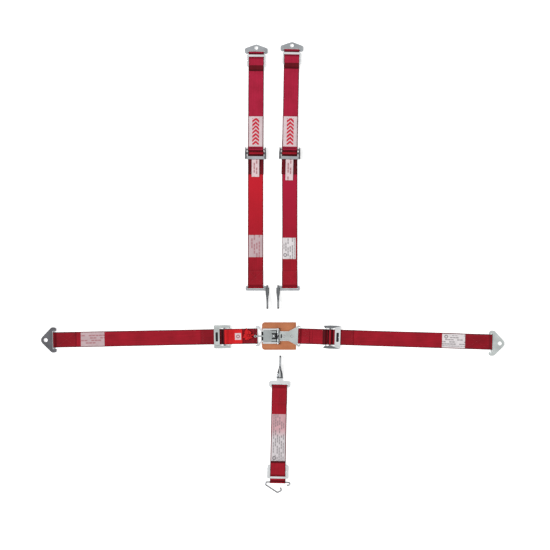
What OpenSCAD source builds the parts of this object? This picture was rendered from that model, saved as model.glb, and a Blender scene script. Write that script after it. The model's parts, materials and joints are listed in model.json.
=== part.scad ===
// Five-strap racing harness with a latch and link buckle, laid out flat.
// The lap belt runs along X, the two shoulder straps run towards +Y and the crotch strap towards -Y.
// The origin is on the surface it lies on, at the middle of its footprint, and +Z is up.

/* [Webbing] */
// Width of every strap
web_w = 50; // [48:1:51]
// Thickness of the webbing
web_t = 1.3; // [1.1:0.1:1.3]

/* [Lap belt] */
// Slide-bar side of the left half: link bar to adjuster bar
lap_left_inner = 88; // [80:1:110]
// Link bar to left bracket bar
lap_left_reach = 657.7; // [500:0.1:800]
// Latch bar to adjuster bar on the right half
lap_right_inner = 84; // [80:1:110]
// Latch bar to right bracket bar
lap_right_reach = 625; // [500:1:800]
// Slope of the left half as laid out, in degrees
lap_left_tilt = 1.1; // [0:0.1:3]
// Slope of the right half as laid out, in degrees
lap_right_tilt = 1.8; // [0:0.1:3]

/* [Shoulder straps] */
// Distance of each strap's centre line from the middle of the harness
shoulder_x = 55.5; // [50:0.5:80]
// End fitting bar to adjuster bar
shoulder_adjuster_u = 447; // [400:1:500]
// End fitting bar to bracket bar on the left strap
shoulder_left_reach = 762; // [700:1:900]
// End fitting bar to bracket bar on the right strap
shoulder_right_reach = 770; // [700:1:900]
// Lean of the left upper strap as laid out, in degrees
shoulder_left_lean = 0.4; // [0:0.1:1.5]
// Lean of the right upper strap as laid out, in degrees
shoulder_right_lean = 1.2; // [0:0.1:1.5]

/* [Crotch strap] */
// End fitting bar to hook bar
crotch_reach = 314; // [250:1:400]
// Slope of the strap as laid out, in degrees
crotch_tilt = 1.2; // [0:0.1:3]

/* [Hardware] */
// Bolt hole in each lap bracket
lap_bolt_d = 13; // [11:0.5:13]
// Bolt hole in each shoulder bracket
shoulder_bolt_d = 12; // [10:0.5:12]
// Thickness of the stamped plates
plate_t = 3; // [2.5:0.1:3]
// Length of the leather pad
pad_l = 111; // [105:1:120]
// Width of the leather pad
pad_w = 90; // [85:1:100]

/* [Hidden] */
$fn = 48;
gap = 0.3;                    // running clearance between layers and round loop bars
layer = web_t + gap;          // pitch of stacked webbing layers
bar_r = 2;                    // round bar that a webbing loop turns on
loop_r = bar_r + gap + web_t / 2;   // loop radius at the middle of the webbing
z_low = web_t / 2;            // middle of a strap that lies on the surface
z_high = z_low + layer;       // middle of a strap that lies on another
low_bar = z_low + loop_r;     // height of a loop bar on a low strap
high_bar = z_high + loop_r;   // height of a loop bar on a high strap
label_t = 0.4;                // woven or printed label
label_gap = 0.05;             // label above the webbing that it is sewn to

buckle = [20.5, -222.3];      // lever side of the buckle, middle of the pad
link_bar_x = -73;             // link bar, from the buckle's middle
latch_bar_x = 65;             // latch bar, from the buckle's middle
shoulder_y = -64;             // end fitting bars of the shoulder straps
crotch_at = [22.4, -383];     // end fitting bar of the crotch strap

// Adjusters: [lock bar from loop bar, plate start, plate end, plate height, frame width, tail end,
// ear before bar]
lap_adjuster = [16, 32, 50, 5, 75, 93, 4];
shoulder_adjuster = [12, 22, 31.5, 9.8, 69, 80, 7.5];
lock_r = 3.2;
lock_z = 8.2;
lock_travel = 1.5;

// Three-bar slides: [frame start from loop bar, frame length, frame width]
shoulder_slide = [6.8, 40, 60];
crotch_slide = [12, 44, 69];
slide_bar = 7;
slide_middle = 6;
slide_t = 2.8;

// Brackets: [width, bar to hole, bar to tip, bar to the ends of the legs, half the slot's width]
shoulder_bracket_size = [74, 15, 26, 4.5, 27];
lap_bracket_size = [82, 27, 42, 8, 29];
lap_right_shift = -3.6;       // how far the right lap bracket has slid along its bar

// Latch, from the buckle's middle
latch_mouth = -53;
latch_pocket = -27.5;
latch_half = 24.5;
rail_w = 5;
neck_x = 2;
flare_x = 31.5;
neck_half = 15.5;
flare_half = 31.5;
plate_z = high_bar - plate_t / 2;
rim_h = 1.6;
rail_h = 2.6;
pin_at = [-3, 11.6];          // lever pin, x and z
pin_r = 2;
knuckle_r = 4.4;
lever_t = 2.2;
lever_z = plate_z + plate_t + 0.5;
eye_x = -77;
eye_z = lever_z + 2.4;
eye_t = 2.2;

// ---------- places: u runs along a strap away from the buckle, v across it ----------
module at_buckle() translate([buckle[0], buckle[1], 0]) children();
module at_lap_left()
    translate([buckle[0] + link_bar_x, buckle[1], 0]) rotate([0, 0, 180 + lap_left_tilt]) children();
module at_lap_right()
    translate([buckle[0] + latch_bar_x, buckle[1], 0]) rotate([0, 0, -lap_right_tilt]) children();
module at_shoulder(side) translate([side * shoulder_x, shoulder_y, 0]) rotate([0, 0, 90]) children();
module at_upper(side, lean)
    at_shoulder(side) translate([shoulder_adjuster_u, 0, 0]) rotate([0, 0, -lean])
        translate([-shoulder_adjuster_u, 0, 0]) children();
module at_crotch() translate([crotch_at[0], crotch_at[1], 0]) rotate([0, 0, -90 - crotch_tilt]) children();
// Turns round so that +u runs back towards the buckle, from a bar at distance u
module back_from(u) translate([u, 0, 0]) mirror([1, 0, 0]) children();

// ---------- webbing: a strip of constant thickness that follows a path in the u-z plane ----------
function normal(a, b) = let (d = b - a) [-d[1], d[0]] / norm(d);
function mitre(a, b, c) = let (m = normal(a, b) + normal(b, c), n = m / norm(m)) n / (n * normal(a, b));
function side_dir(p, i) =
    i == 0 ? normal(p[0], p[1]) :
    i == len(p) - 1 ? normal(p[i - 1], p[i]) : mitre(p[i - 1], p[i], p[i + 1]);
function strip(p, t) = concat(
    [for (i = [0:len(p) - 1]) p[i] + side_dir(p, i) * t / 2],
    [for (i = [len(p) - 1:-1:0]) p[i] - side_dir(p, i) * t / 2]);
function arc(c, r, a0, a1, n = 10) =
    [for (i = [0:n]) let (a = a0 + (a1 - a0) * i / n) c + r * [cos(a), sin(a)]];

module across(w) rotate([90, 0, 0]) translate([0, 0, -w / 2]) linear_extrude(w) children();
module web(path, w = web_w, t = web_t) across(w) polygon(strip(path, t));

turn = 130;                   // how far a loop's return layer follows its bar
settle = 9;                   // where the return layer meets the strap
// A loop at the buckle end of a strap, from the end of its sewn return layer to the strap
function near_loop(u, z, sewn) = concat(
    [[u + sewn, z + layer], [u + settle, z + layer]], arc([u, z + loop_r], loop_r, 180 - turn, 270));
// A loop at the far end of a strap, from the strap to the end of its sewn or threaded return layer
function far_loop(u, z, sewn, down = settle) = concat(
    arc([u, z + loop_r], loop_r, -90, turn), [[u - down, z + layer], [u - sewn, z + layer]]);

// ---------- plates with exact round corners ----------
module soft_plate(pts, r) {
    for (p = pts) translate(p) circle(r);
    n = len(pts);
    polygon([for (i = [0:n - 1])
        let (a = pts[i], b = pts[(i + 1) % n], d = (b - a) / norm(b - a), o = [d[1], -d[0]])
            each [a + o * r, b + o * r]]);
}
module slab(z, t) translate([0, 0, z]) linear_extrude(t) children();
module bar(u, z, r, l, slope = 0)
    translate([u, 0, z]) rotate([0, 0, slope]) rotate([90, 0, 0]) cylinder(h = l, r = r, center = true);
module rounded_box2d(x0, x1, half, r)
    soft_plate([[x0 + r, -half + r], [x1 - r, -half + r], [x1 - r, half - r], [x0 + r, half - r]], r);

// ---------- stamped anchor bracket: the loop bar is at u = 0, the bolt hole beyond it ----------
module bracket(size, bolt_d, z) {
    half = size[0] / 2;
    corner_r = 7;
    tip_r = size[2] - size[1];
    slot_half = size[4];
    base_u = corner_r - size[3];
    slot_end = bar_r + gap + web_t + 1.2;
    color([0.62, 0.63, 0.65]) {
        difference() {
            slab(z - plate_t / 2, plate_t) difference() {
                union() {
                    soft_plate([[base_u, -half + corner_r], [base_u + 6, -half + corner_r],
                                [base_u + 6, half - corner_r], [base_u, half - corner_r]], corner_r);
                    translate([size[1], 0]) circle(tip_r);
                    bracket_cheeks([base_u + 6, half - corner_r], [size[1], 0], corner_r, tip_r);
                }
                translate([-12, -slot_half]) square([12 + slot_end, 2 * slot_half]);
            }
            translate([size[1], 0, z]) cylinder(h = 20, r = bolt_d / 2, center = true);
        }
        bar(0, z, bar_r, 2 * slot_half + 4);
    }
}
// Straight edges from the two round shoulders to the round tip
module bracket_cheeks(shoulder, tip, r, tip_r) {
    d = tip - shoulder;
    lean = atan2(d[1], d[0]) + acos((r - tip_r) / norm(d));
    for (s = [-1, 1]) {
        out = [cos(lean), s * sin(lean)];
        corner = [shoulder[0], s * shoulder[1]];
        polygon([corner, corner + out * r, tip + out * tip_r, tip]);
    }
    polygon([[shoulder[0], -shoulder[1]], tip, shoulder]);
}

// ---------- adjuster: the loop bar is at u = 0 ----------
// The slotted plate faces the strap that runs through
module adjuster_frame(a, slotted) {
    half = a[4] / 2;
    inner = web_w / 2 + 4;
    ear_top = lock_z + lock_r + 2;
    color([0.75, 0.76, 0.78]) {
        bar(0, high_bar, bar_r, 2 * inner + 4);
        for (s = [-1, 1]) difference() {
            slab(0.5, ear_top - 0.5) polygon([for (p = ear(a, half, inner)) [p[0], s * p[1]]]);
            for (shift = [0, lock_travel]) bar(a[0] + shift, lock_z, lock_r + 0.2, 2 * half + 4);
            translate([a[0], -half - 2, lock_z - lock_r - 0.2])
                cube([lock_travel, 2 * half + 4, 2 * lock_r + 0.4]);
            translate([-20, -half - 2, high_bar + 3.2]) rotate([0, -28, 0]) cube([18, 2 * half + 4, 20]);
        }
        slab(a[3], 2.4) difference() {
            rounded_box2d(a[1], a[2], half, 3);
            if (slotted) rounded_box2d(a[1] + 5, a[2] - 5, 15, 2.5);
        }
    }
}
// Outline of an ear, which flares out towards the loop bar's end and the plate's far corner
function ear(a, half, inner) = [
    [-a[6], half - 3.4], [-1, inner + 0.6], [a[0] + 8, inner], [a[2] - 3, inner],
    [a[2] - 1, half - 0.6], [a[0], half], [-a[6], half - 1.4]];
// Webbing that is wrapped over the lock bar, with its tail
module adjuster_web(a) {
    c = a[0];
    color([0.72, 0.08, 0.14])
        web([[a[5], z_high], [c + 13, z_high], [c + 8.2, 4.4], [c + 6, 8.4], [c + 3.6, 11.7], [c, 12.8],
            [c - 3.2, 11.8], [c - 5.6, 9], [c - 6.4, 6.2], [c - 6.6, 3.4]], web_w - 1);
}
module lock_bar(a) color([0.45, 0.46, 0.48]) bar(a[0], lock_z, lock_r, web_w + 12);

// ---------- three-bar slide: u = 0 is the end loop's bar, and the strap lies at height z ----------
module slide_frame(s, z) {
    start = s[0];
    window = (s[1] - 2 * slide_bar - slide_middle) / 2;
    base = z + web_t / 2 + layer + gap;
    color([0.8, 0.8, 0.82]) slab(base, slide_t) difference() {
        rounded_box2d(start, start + s[1], s[2] / 2, 5);
        for (from = [start + slide_bar, start + slide_bar + window + slide_middle])
            rounded_box2d(from, from + window, web_w / 2 + 1, 2);
    }
}
module slide_web(s, z) {
    start = s[0];
    up = z + web_t / 2 + layer + gap + slide_t + gap + web_t / 2;
    low = z + layer;
    tail = low + 0.5;
    out = start + s[1];
    color([0.72, 0.08, 0.14])
        web([[start + slide_bar + 0.7, low + layer], [start + slide_bar + 2, low + layer],
            [start + slide_bar + 7, up], [out + 5, up], [out + 9, tail + 0.6], [out + 10, tail],
            [out + 14, tail]], web_w - 1);
}
function slide_loop(u, z, s) = far_loop(u, z, s[0] + s[1] + 1.5, 6);

// ---------- end fittings: the loop bar is at u = 0, the upright tongue points to -u ----------
tongue_t = 5.4;
module tongue(from, to, r, z) {
    slot_r = 4.6;
    difference() {
        union() {
            across(tongue_t) soft_plate([[from + r, z], [to, z], [to, z + 0.01], [from + r, z + 0.01]], r);
            children();
        }
        across(tongue_t * 3)
            soft_plate([[from + r, z], [to - 6, z], [to - 6, z + 0.01], [from + r, z + 0.01]], slot_r);
    }
}
module shoulder_fitting(side) {
    arm = web_w / 2 + 1.5;
    tongue_v = 38;
    outer = -28;
    inner = 35.5;
    color([0.66, 0.68, 0.7]) {
        bar(0, low_bar, bar_r, 2 * arm + 3);
        slab(low_bar - plate_t / 2, plate_t) difference() {
            soft_plate([[-6.5, min(side * outer, side * inner)], [0.5, min(side * outer, side * inner)],
                [0.5, max(side * outer, side * inner)], [-6.5, max(side * outer, side * inner)]], 4.5);
            translate([-4.6, -arm]) square([15, 2 * arm]);
        }
        translate([0, side * tongue_v, 0]) tongue(-70, -42, 8.5, 9.2)
            across(tongue_t) soft_plate([[-42, 5.2], [4, 3.6], [4, 6.5], [-42, 13]], 3);
    }
}
module crotch_fitting_shape() {
    arm = web_w / 2 + 1.5;
    color([0.66, 0.68, 0.7]) {
        bar(0, low_bar, bar_r, 2 * arm + 3);
        slab(low_bar - plate_t / 2, plate_t) {
            difference() {
                rounded_box2d(-16, 7, 35, 9);
                translate([-4.6, -arm]) square([15, 2 * arm]);
            }
            polygon([[-14, -9], [-14, 9], [-26, 11], [-34, 9.5], [-54, 2.2],
                [-54, -2.2], [-34, -9.5], [-26, -11]]);
        }
        tongue(-98, -66, 8.5, 9.2)
            across(tongue_t) soft_plate([[-66, 5.2], [-28, 3.6], [-28, 5], [-66, 13]], 3);
    }
}

// ---------- bent wire: a round tube along a path with round bends, in the plane of the strap ----------
function heading(a, b) = atan2(b[1] - a[1], b[0] - a[0]);
function turn_at(p, i) = let (d = heading(p[i], p[i + 1]) - heading(p[i - 1], p[i]))
    d > 180 ? d - 360 : d < -180 ? d + 360 : d;
function bend_at(p, i, bend, steps = 5) = let (
        h = heading(p[i - 1], p[i]), t = turn_at(p, i), from = h - sign(t) * 90,
        start = p[i] - bend * tan(abs(t) / 2) * [cos(h), sin(h)],
        centre = start - bend * [cos(from), sin(from)])
    [for (k = [0:steps]) centre + bend * [cos(from + t * k / steps), sin(from + t * k / steps)]];
function bent(p, bend) = concat([p[0]], [for (i = [1:len(p) - 2]) each bend_at(p, i, bend)], [p[len(p) - 1]]);
module tube(path, r, sides = 12) {
    last = len(path) - 1;
    rings = [for (i = [0:last]) for (k = [0:sides - 1])
        let (a = 360 * k / sides, o = path[i] + side_dir(path, i) * r * cos(a)) [o[0], o[1], r * sin(a)]];
    walls = [for (i = [0:last - 1]) for (k = [0:sides - 1]) let (a = i * sides, m = (k + 1) % sides)
        [a + k, a + m, a + sides + m, a + sides + k]];
    ends = [[for (k = [sides - 1:-1:0]) k], [for (k = [0:sides - 1]) last * sides + k]];
    polyhedron(rings, concat(walls, ends));
}
hook_nose = 33.5;
module hook_shape() color([0.55, 0.56, 0.58]) translate([0, 0, low_bar])
    tube(bent([[9, 30], [9, 39], [0, 39], [0, -39], [9, -39], [hook_nose, 0], [hook_nose - 7, 13],
        [hook_nose - 17, 9]], 3.2), bar_r);

// ---------- labels ----------
module label(u0, u1, w, z, v = 0) color([0.9, 0.88, 0.87])
    translate([u0, v - w / 2, z + web_t / 2 + label_gap]) cube([u1 - u0, w, label_t]);

// ---------- buckle ----------
module leather_pad() at_buckle() color([0.76, 0.42, 0.2]) slab(0, 3.4) union() {
    soft_plate([[-pad_l / 2 + 10, -pad_w / 2 + 10], [0, -pad_w / 2 + 10], [0, pad_w / 2 - 10],
                [-pad_l / 2 + 10, pad_w / 2 - 10]], 10);
    soft_plate([[0, -pad_w / 2 + 3], [pad_l / 2 - 3, -pad_w / 2 + 3], [pad_l / 2 - 3, pad_w / 2 - 3],
                [0, pad_w / 2 - 3]], 3);
}
// Outline of the bottle-shaped plate to the right of the pocket, drawn in by a rim width
module bottle(inset) {
    end = latch_bar_x - bar_r - gap - web_t - 1.2;
    polygon([[latch_pocket + inset, -latch_half + inset], [neck_x - inset, -latch_half + inset],
        [neck_x - inset, -neck_half + inset], [flare_x - inset / 2, -neck_half + inset],
        [end - inset, -flare_half + inset * 1.3], [end - inset, flare_half - inset * 1.3],
        [flare_x - inset / 2, neck_half - inset], [neck_x - inset, neck_half - inset],
        [neck_x - inset, latch_half - inset], [latch_pocket + inset, latch_half - inset]]);
}
module latch_base() at_buckle() color([0.78, 0.8, 0.82]) {
    arm = web_w / 2 + 1.5;
    end = latch_bar_x - bar_r - gap - web_t - 1.2;
    difference() {
        union() {
            slab(plate_z, plate_t) bottle(0);
            // Arms that hold the loop bar
            slab(plate_z, plate_t) for (s = [-1, 1]) {
                translate([end - 1, s > 0 ? arm : -arm - 8]) square([6, 8]);
                translate([latch_bar_x - 1, s * (arm + 4)]) circle(4.2);
            }
            // Raised rim along the neck and the flare
            slab(plate_z, plate_t + rim_h) intersection() {
                difference() { bottle(0); bottle(1.8); }
                translate([neck_x + 0.5, -40]) square([end - neck_x - 3, 80]);
            }
            // Side rails that guide the link, and the cheeks that hold the lever pin
            for (s = [-1, 1]) {
                slab(plate_z, plate_t + rail_h)
                    translate([latch_mouth, s > 0 ? latch_half - rail_w : -latch_half])
                        square([neck_x - latch_mouth - 1, rail_w]);
                translate([0, s * (latch_half - 1.5), 0]) across(3)
                    soft_plate([[pin_at[0] - 3, plate_z + 3], [pin_at[0] + 3, plate_z + 3], pin_at], 2.8);
            }
        }
        slab(plate_z - 1, 12) rounded_box2d(5.5, 9.5, 6.5, 1.5);
        translate([pin_at[0], 0, pin_at[1]]) rotate([90, 0, 0]) cylinder(h = 80, r = pin_r, center = true);
        for (x = [16, 42]) translate([x, 0, plate_z - 1]) cylinder(h = 10, r = 2.2);
    }
    bar(latch_bar_x, high_bar, bar_r, 2 * arm + 3, -lap_right_tilt);
}
module lever_pin() at_buckle() color([0.6, 0.6, 0.62]) {
    bar(pin_at[0], pin_at[1], pin_r, 2 * latch_half + 1);
    for (s = [-1, 1]) translate([pin_at[0], s * (latch_half + 1), pin_at[1]]) rotate([90, 0, 0])
        cylinder(h = 1.4, r = 3, center = true);
}
module lever_spring() at_buckle() color([0.5, 0.5, 0.52]) {
    wire_r = 0.6;
    for (k = [-3:3]) translate([pin_at[0], k * 1.25, pin_at[1]]) rotate([90, 0, 0])
        rotate_extrude() translate([3.1, 0]) circle(wire_r, $fn = 16);
    for (s = [-1, 1]) translate([pin_at[0] + 3.1, s * 3.75, plate_z + plate_t])
        cylinder(h = pin_at[1] - plate_z - plate_t, r = wire_r * 0.8, $fn = 16);
}
module latch_rivets() at_buckle() color([0.7, 0.71, 0.73]) for (x = [16, 42]) {
    translate([x, 0, 3.4]) cylinder(h = plate_z + plate_t - 3.4, r = 2.2);
    translate([x, 0, plate_z + plate_t]) cylinder(h = 1, r1 = 4, r2 = 3);
}
module latch_lever() at_buckle() color([0.82, 0.84, 0.86]) {
    plate_end = latch_mouth + 2;
    difference() {
        union() {
            slab(lever_z, lever_t) {
                rounded_box2d(plate_end, -24, 18.6, 2.5);
                translate([-28, -5]) square([15, 10]);
                for (s = [-1, 1]) translate([-26, s > 0 ? 10 : -17]) square([23, 7]);
            }
            // Cross rib and the two knuckles on the pin
            slab(lever_z, lever_t + 1.6) rounded_box2d(-29, -23.5, 18.6, 2);
            for (s = [-1, 1]) translate([0, s * 13.5, 0]) across(7) {
                translate(pin_at) circle(knuckle_r);
                polygon([[-12, lever_z], [pin_at[0], lever_z + 0.1], [pin_at[0], pin_at[1] + knuckle_r],
                    [-9, lever_z + lever_t]]);
            }
            // Finger rod, rising over the link bar, with an eye for the ribbon
            across(5) polygon([[plate_end + 6, lever_z], [plate_end + 6, lever_z + lever_t],
                [-60, eye_z + eye_t], [eye_x, eye_z + eye_t], [eye_x, eye_z], [-59, eye_z],
                [plate_end, lever_z]]);
            slab(eye_z, eye_t) translate([eye_x, 0]) circle(4.4);
        }
        translate([eye_x, 0, lever_z]) cylinder(h = 10, r = 2);
        translate([pin_at[0], 0, pin_at[1]]) rotate([90, 0, 0])
            cylinder(h = 60, r = pin_r + 0.08, center = true);
        translate([-17, 0, lever_z - 1]) cylinder(h = 6, r = 2);
    }
}
module lever_hook() at_buckle() color([0.7, 0.72, 0.74]) {
    across(12) polygon([[-39, lever_z], [-38.6, plate_z + 0.7], [-36.6, plate_z + 0.7],
        [-34.6, plate_z + 1.6], [-34.6, lever_z]]);
}
module lever_rivet() at_buckle() color([0.86, 0.87, 0.88]) {
    translate([-17, 0, lever_z - 0.3]) cylinder(h = lever_t + 0.3, r = 2);
    translate([-17, 0, lever_z + lever_t]) cylinder(h = 1.1, r1 = 4, r2 = 2.8);
}
module lever_ribbon() at_buckle() color([0.85, 0.08, 0.1]) translate([0, 2, 0])
    web([[-82, eye_z + 1.4], [-88, eye_z + 0.8], [-98, 7.6], [-118, 6.4]], 17, 2.2);
module link_plate() at_buckle() color([0.75, 0.77, 0.79]) {
    front = -33;
    arm = web_w / 2 + 1.5;
    slab(plate_z, plate_t) {
        difference() {
            polygon([[link_bar_x - 3, -arm - 7], [link_bar_x + 8, -arm - 7], [-57, -19], [-28, -19],
                [-28, 19], [-57, 19], [link_bar_x + 8, arm + 7], [link_bar_x - 3, arm + 7]]);
            polygon([[link_bar_x - 4, -arm], [link_bar_x + 5, -arm], [-58, -14.5], [front, -14.5],
                [front, 14.5], [-58, 14.5], [link_bar_x + 5, arm], [link_bar_x - 4, arm]]);
        }
    }
    bar(link_bar_x, high_bar, bar_r, 2 * arm + 3, lap_left_tilt);
}

// ---------- lap belt, left half ----------
hidden_end = 8;               // how far the sliding strap starts beyond the adjuster bar
module lap_left_inner_web() at_lap_left() color([0.6, 0.06, 0.12])
    web(concat(near_loop(0, z_high, 34), far_loop(lap_left_inner, z_high, 40)));
module lap_left_adjuster_frame()
    at_lap_left() translate([lap_left_inner, 0, 0]) adjuster_frame(lap_adjuster, true);
module lap_left_adjuster_web() at_lap_left() translate([lap_left_inner, 0, 0]) adjuster_web(lap_adjuster);
module lap_left_lock_bar() at_lap_left() translate([lap_left_inner, 0, 0]) lock_bar(lap_adjuster);
module lap_left_outer_web() at_lap_left() color([0.66, 0.07, 0.13])
    web(concat([[lap_left_inner - hidden_end, z_low]], far_loop(lap_left_reach, z_low, 71)));
module lap_left_label() at_lap_left() label(494, 571, 45, z_low);
module lap_left_bracket()
    at_lap_left() translate([lap_left_reach, 0, 0]) bracket(lap_bracket_size, lap_bolt_d, low_bar);
tail_z = 10.2;
module lap_left_pull_tail() at_lap_left() translate([lap_left_inner, 0, 0]) color([0.85, 0.1, 0.13])
    web([[6, tail_z], [-2, tail_z], [-12, 6.8], [-40, 5.6]], web_w - 2);
module lap_left_tail_label() at_lap_left() translate([lap_left_inner, 0, 0]) color([0.88, 0.85, 0.84])
    across(22) polygon(strip([[-13, 7.66], [-37, 6.63]], label_t));

// ---------- lap belt, right half ----------
module lap_right_inner_web() at_lap_right() color([0.6, 0.06, 0.12])
    web(concat(near_loop(0, z_high, 34), far_loop(lap_right_inner, z_high, 40)));
module lap_right_adjuster_frame()
    at_lap_right() translate([lap_right_inner, 0, 0]) adjuster_frame(lap_adjuster, true);
module lap_right_adjuster_web() at_lap_right() translate([lap_right_inner, 0, 0]) adjuster_web(lap_adjuster);
module lap_right_lock_bar() at_lap_right() translate([lap_right_inner, 0, 0]) lock_bar(lap_adjuster);
module lap_right_outer_web() at_lap_right() color([0.66, 0.07, 0.13])
    web(concat([[lap_right_inner - hidden_end, z_low]], far_loop(lap_right_reach, z_low, 85)));
module lap_right_label() at_lap_right() label(465, 540, 45, z_low);
module lap_right_bracket() at_lap_right() translate([lap_right_reach, lap_right_shift, 0])
    bracket(lap_bracket_size, lap_bolt_d, low_bar);

// ---------- shoulder straps ----------
patch_l = 98;
module lower_web(side) at_shoulder(side) color([0.72, 0.08, 0.14])
    web(concat(near_loop(0, z_low, 55), [[shoulder_adjuster_u + 30, z_low]]));
module upper_web(side, lean, reach) at_upper(side, lean) color([0.66, 0.07, 0.13])
    web(concat(near_loop(shoulder_adjuster_u, z_high, patch_l + 12),
        slide_loop(reach, z_high, shoulder_slide)));
module at_adjuster(side, lean) at_upper(side, lean) back_from(shoulder_adjuster_u) children();
module patch(side, lean) at_upper(side, lean)
    label(shoulder_adjuster_u + 10, shoulder_adjuster_u + 10 + patch_l, 45, z_high + layer);
module shoulder_frame(side, lean) at_adjuster(side, lean) adjuster_frame(shoulder_adjuster, false);
module shoulder_adjuster_web(side, lean) at_adjuster(side, lean) adjuster_web(shoulder_adjuster);
module shoulder_lock_bar(side, lean) at_adjuster(side, lean) lock_bar(shoulder_adjuster);
module release_tab(side, lean, l) at_adjuster(side, lean) color([0.9, 0.85, 0.85])
    translate([shoulder_adjuster[2], 0, 0]) web([[0.9, 10.6], [8, 9.2], [28, 5.6], [l, 4.2]], 24.5, 1.2);
module upper_slide(side, lean, reach)
    at_upper(side, lean) back_from(reach) slide_frame(shoulder_slide, z_high);
module upper_slide_web(side, lean, reach)
    at_upper(side, lean) back_from(reach) slide_web(shoulder_slide, z_high);
module upper_bracket(side, lean, reach) at_upper(side, lean) translate([reach, 0, 0])
    bracket(shoulder_bracket_size, shoulder_bolt_d, high_bar);

module shoulder_left_lower_web() lower_web(-1);
module shoulder_left_label() at_shoulder(-1) label(98, 170, 45, z_low);
module shoulder_left_fitting() at_shoulder(-1) shoulder_fitting(-1);
module shoulder_left_upper_web() upper_web(-1, shoulder_left_lean, shoulder_left_reach);
module shoulder_left_patch() patch(-1, shoulder_left_lean);
module shoulder_left_adjuster_frame() shoulder_frame(-1, shoulder_left_lean);
module shoulder_left_adjuster_web() shoulder_adjuster_web(-1, shoulder_left_lean);
module shoulder_left_lock_bar() shoulder_lock_bar(-1, shoulder_left_lean);
module shoulder_left_release_tab() release_tab(-1, shoulder_left_lean, 57);
module shoulder_left_slide() upper_slide(-1, shoulder_left_lean, shoulder_left_reach);
module shoulder_left_slide_web() upper_slide_web(-1, shoulder_left_lean, shoulder_left_reach);
module shoulder_left_bracket() upper_bracket(-1, shoulder_left_lean, shoulder_left_reach);

module shoulder_right_lower_web() lower_web(1);
module shoulder_right_label() at_shoulder(1) label(92, 161, 43, z_low, 2);
module shoulder_right_fitting() at_shoulder(1) shoulder_fitting(1);
module shoulder_right_upper_web() upper_web(1, shoulder_right_lean, shoulder_right_reach);
module shoulder_right_patch() patch(1, shoulder_right_lean);
module shoulder_right_adjuster_frame() shoulder_frame(1, shoulder_right_lean);
module shoulder_right_adjuster_web() shoulder_adjuster_web(1, shoulder_right_lean);
module shoulder_right_lock_bar() shoulder_lock_bar(1, shoulder_right_lean);
module shoulder_right_release_tab() release_tab(1, shoulder_right_lean, 68);
module shoulder_right_slide() upper_slide(1, shoulder_right_lean, shoulder_right_reach);
module shoulder_right_slide_web() upper_slide_web(1, shoulder_right_lean, shoulder_right_reach);
module shoulder_right_bracket() upper_bracket(1, shoulder_right_lean, shoulder_right_reach);

// ---------- crotch strap ----------
module crotch_web() at_crotch() color([0.64, 0.07, 0.13])
    web(concat(near_loop(0, z_low, 60), slide_loop(crotch_reach, z_low, crotch_slide)));
module crotch_label() at_crotch() label(93, 248, 44.5, z_low);
module crotch_fitting() at_crotch() crotch_fitting_shape();
module crotch_slide_frame() at_crotch() back_from(crotch_reach) slide_frame(crotch_slide, z_low);
module crotch_slide_web() at_crotch() back_from(crotch_reach) slide_web(crotch_slide, z_low);
module crotch_hook() at_crotch() translate([crotch_reach, 0, 0]) hook_shape();

leather_pad();
latch_base();
lever_pin();
lever_spring();
latch_rivets();
latch_lever();
lever_hook();
lever_rivet();
lever_ribbon();
link_plate();
lap_left_inner_web();
lap_left_adjuster_frame();
lap_left_adjuster_web();
lap_left_lock_bar();
lap_left_outer_web();
lap_left_label();
lap_left_bracket();
lap_left_pull_tail();
lap_left_tail_label();
lap_right_inner_web();
lap_right_adjuster_frame();
lap_right_adjuster_web();
lap_right_lock_bar();
lap_right_outer_web();
lap_right_label();
lap_right_bracket();
shoulder_left_lower_web();
shoulder_left_label();
shoulder_left_fitting();
shoulder_left_upper_web();
shoulder_left_patch();
shoulder_left_adjuster_frame();
shoulder_left_adjuster_web();
shoulder_left_lock_bar();
shoulder_left_release_tab();
shoulder_left_slide();
shoulder_left_slide_web();
shoulder_left_bracket();
shoulder_right_lower_web();
shoulder_right_label();
shoulder_right_fitting();
shoulder_right_upper_web();
shoulder_right_patch();
shoulder_right_adjuster_frame();
shoulder_right_adjuster_web();
shoulder_right_lock_bar();
shoulder_right_release_tab();
shoulder_right_slide();
shoulder_right_slide_web();
shoulder_right_bracket();
crotch_web();
crotch_label();
crotch_fitting();
crotch_slide_frame();
crotch_slide_web();
crotch_hook();
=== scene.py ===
import json
import math

import bpy
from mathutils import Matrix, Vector, noise

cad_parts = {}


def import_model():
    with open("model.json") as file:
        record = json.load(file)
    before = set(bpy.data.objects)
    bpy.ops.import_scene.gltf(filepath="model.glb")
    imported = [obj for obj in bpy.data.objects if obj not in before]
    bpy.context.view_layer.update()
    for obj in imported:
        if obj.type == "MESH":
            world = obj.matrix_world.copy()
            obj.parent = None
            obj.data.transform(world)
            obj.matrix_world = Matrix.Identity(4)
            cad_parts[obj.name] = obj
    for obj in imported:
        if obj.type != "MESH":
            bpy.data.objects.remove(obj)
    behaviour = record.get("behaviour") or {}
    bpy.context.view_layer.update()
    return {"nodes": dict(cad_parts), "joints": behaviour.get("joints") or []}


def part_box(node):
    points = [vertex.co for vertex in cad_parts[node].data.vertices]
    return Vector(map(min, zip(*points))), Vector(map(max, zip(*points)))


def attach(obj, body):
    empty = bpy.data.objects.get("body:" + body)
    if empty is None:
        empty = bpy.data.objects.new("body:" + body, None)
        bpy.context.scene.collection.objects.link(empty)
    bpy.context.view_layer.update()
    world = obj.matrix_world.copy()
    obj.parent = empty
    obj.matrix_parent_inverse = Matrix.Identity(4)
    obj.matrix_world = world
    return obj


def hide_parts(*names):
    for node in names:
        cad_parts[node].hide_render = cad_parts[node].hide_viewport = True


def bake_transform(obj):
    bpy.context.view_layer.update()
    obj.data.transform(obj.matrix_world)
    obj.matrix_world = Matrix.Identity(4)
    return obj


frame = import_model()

MM = 0.001
UP = Vector((0, 0, 1))
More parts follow.
